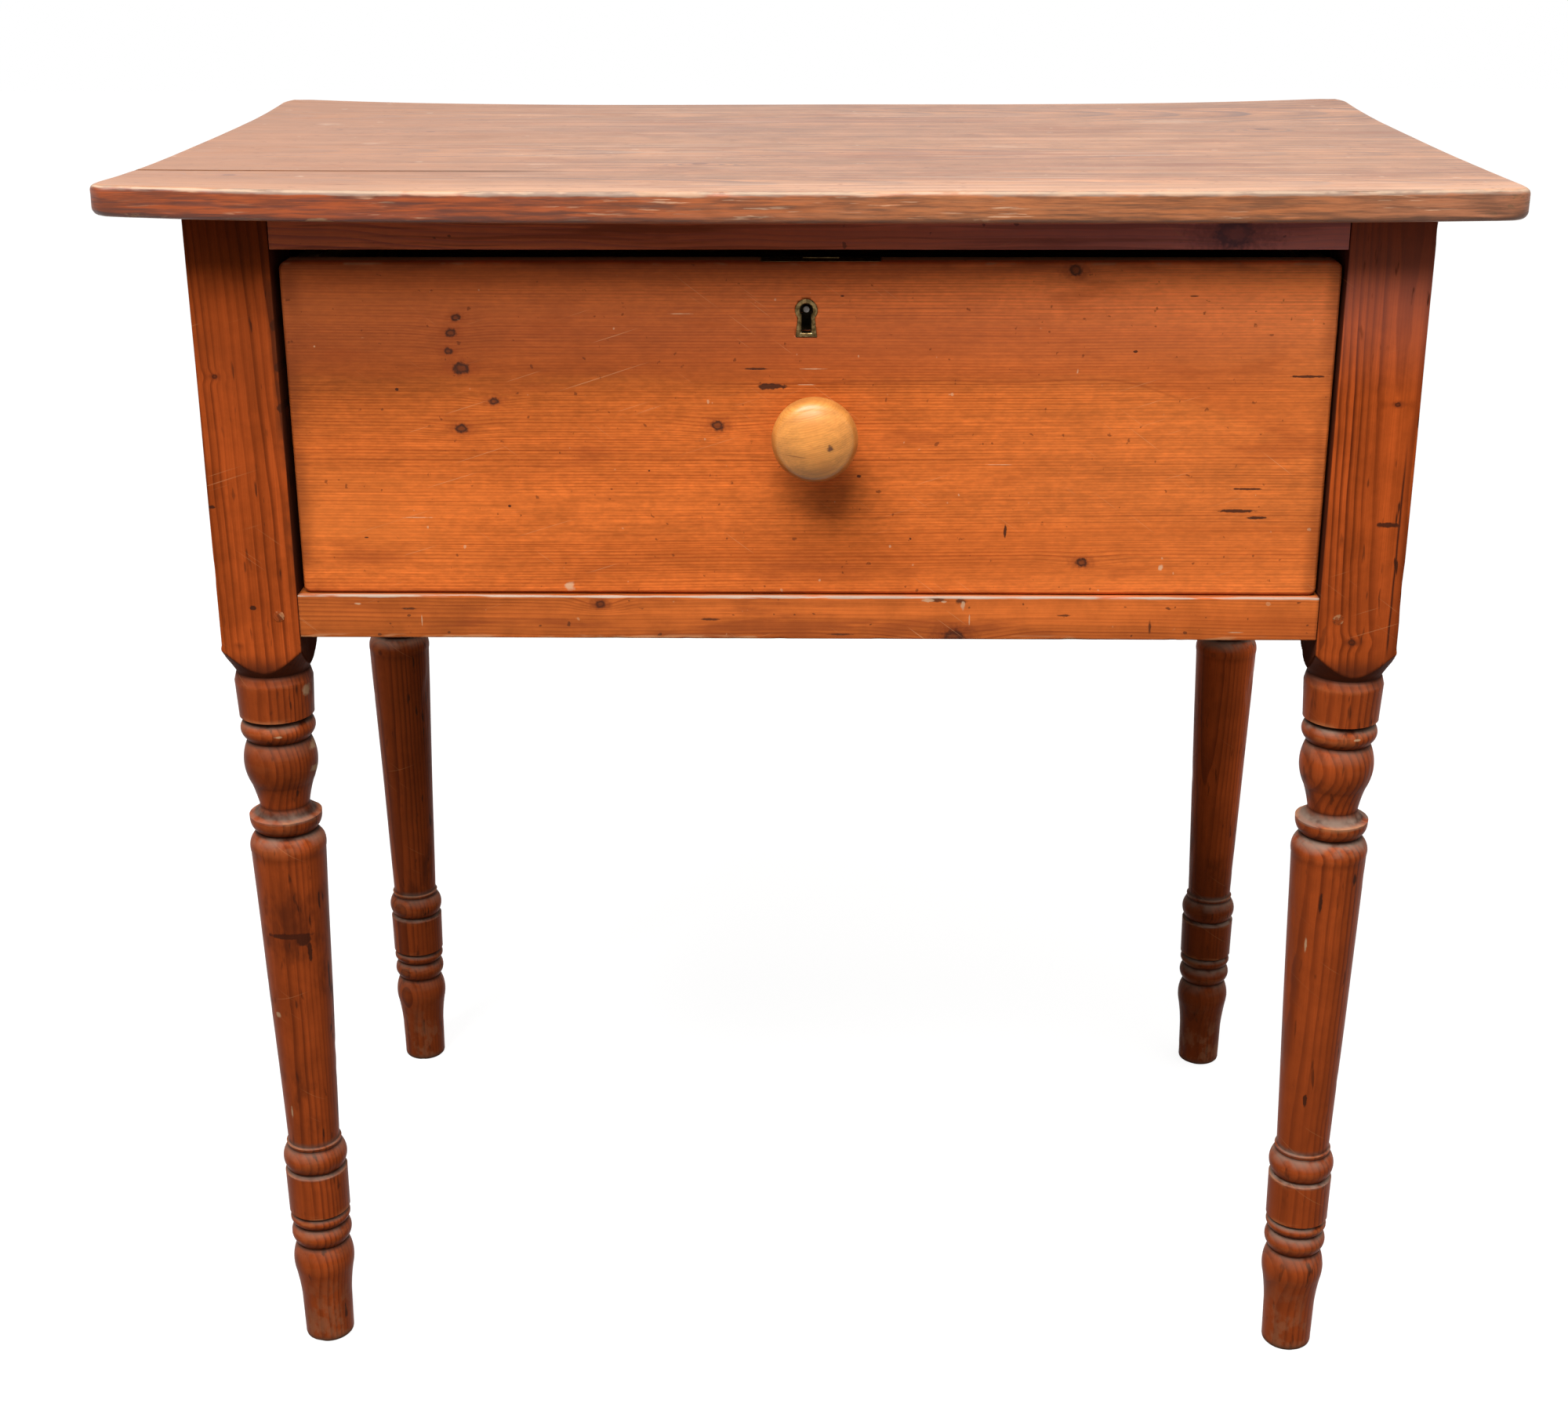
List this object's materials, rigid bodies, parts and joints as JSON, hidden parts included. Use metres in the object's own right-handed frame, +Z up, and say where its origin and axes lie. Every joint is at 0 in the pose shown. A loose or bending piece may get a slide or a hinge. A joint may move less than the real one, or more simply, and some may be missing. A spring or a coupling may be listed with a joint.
{
  "type": "kitchen table",
  "caption": "Small pine kitchen table: plank top with overhang, turned legs tenoned to aprons, and a lockable dovetailed drawer with a turned wooden knob.",
  "frame": {"origin": "on the floor, under the middle of the top", "axes": "+X to the right along the drawer front, +Y from the drawer front to the back, +Z up"},
  "size_m": [0.77, 0.48, 0.762],
  "materials": {
    "pine_top": "worn hazy old varnish over stained pine",
    "pine_drawer": "orange brown stain under satin varnish",
    "pine_legs": "red brown stain under satin varnish, dark in the grooves",
    "pine_frame": "red brown stain under satin varnish",
    "bare_pine": "bare pine, darkened by age",
    "peg_wood": "pale end grain, varnished over",
    "knob_wood": "honey coloured wood, rubbed smooth",
    "old_brass": "dull dark brass",
    "iron": "dull worn steel and iron"
  },
  "bodies": {
    "table_frame": {"top_front_board": "pine_top", "top_middle_board": "pine_top", "top_rear_board": "pine_top", "front_left_leg": "pine_legs", "front_right_leg": "pine_legs", "rear_left_leg": "pine_legs", "rear_right_leg": "pine_legs", "left_apron": "pine_frame", "right_apron": "pine_frame", "back_apron": "pine_frame", "upper_front_rail": "pine_frame", "lower_front_rail": "pine_frame", "left_runner": "bare_pine", "right_runner": "bare_pine", "left_guide": "bare_pine", "right_guide": "bare_pine", "left_kicker": "bare_pine", "right_kicker": "bare_pine", "left_drawer_stop": "bare_pine", "right_drawer_stop": "bare_pine", "glue_blocks": "bare_pine", "top_screws": "iron", "drawbore_pegs": "peg_wood"},
    "drawer": {"drawer_front": "pine_drawer", "drawer_left_side": "bare_pine", "drawer_right_side": "bare_pine", "drawer_back": "bare_pine", "drawer_bottom_front": "bare_pine", "drawer_bottom_rear": "bare_pine", "drawer_bottom_nails": "iron", "knob": "knob_wood", "escutcheon": "old_brass", "lock_plate": "old_brass", "lock_case": "iron", "lock_drill_pin": "iron", "lock_screws": "iron"},
    "lock_bolt": {"lock_bolt": "old_brass"},
    "lock_tumbler": {"lock_tumbler": "iron"}
  },
  "joints": [
    {"name": "drawer_slide", "type": "slide", "parent": "table_frame", "child": "drawer", "axis": [0, -1, 0], "range_m": [0, 0.3]},
    {"name": "bolt_throw", "type": "slide", "parent": "drawer", "child": "lock_bolt", "axis": [0, 0, 1], "range_m": [0, 0.012]},
    {"name": "tumbler_lift", "type": "hinge", "parent": "drawer", "child": "lock_tumbler", "pos_m": [0.0239, -0.1887, 0.6985], "axis": [0, 1, 0], "range_deg": [0, 6]}
  ]
}
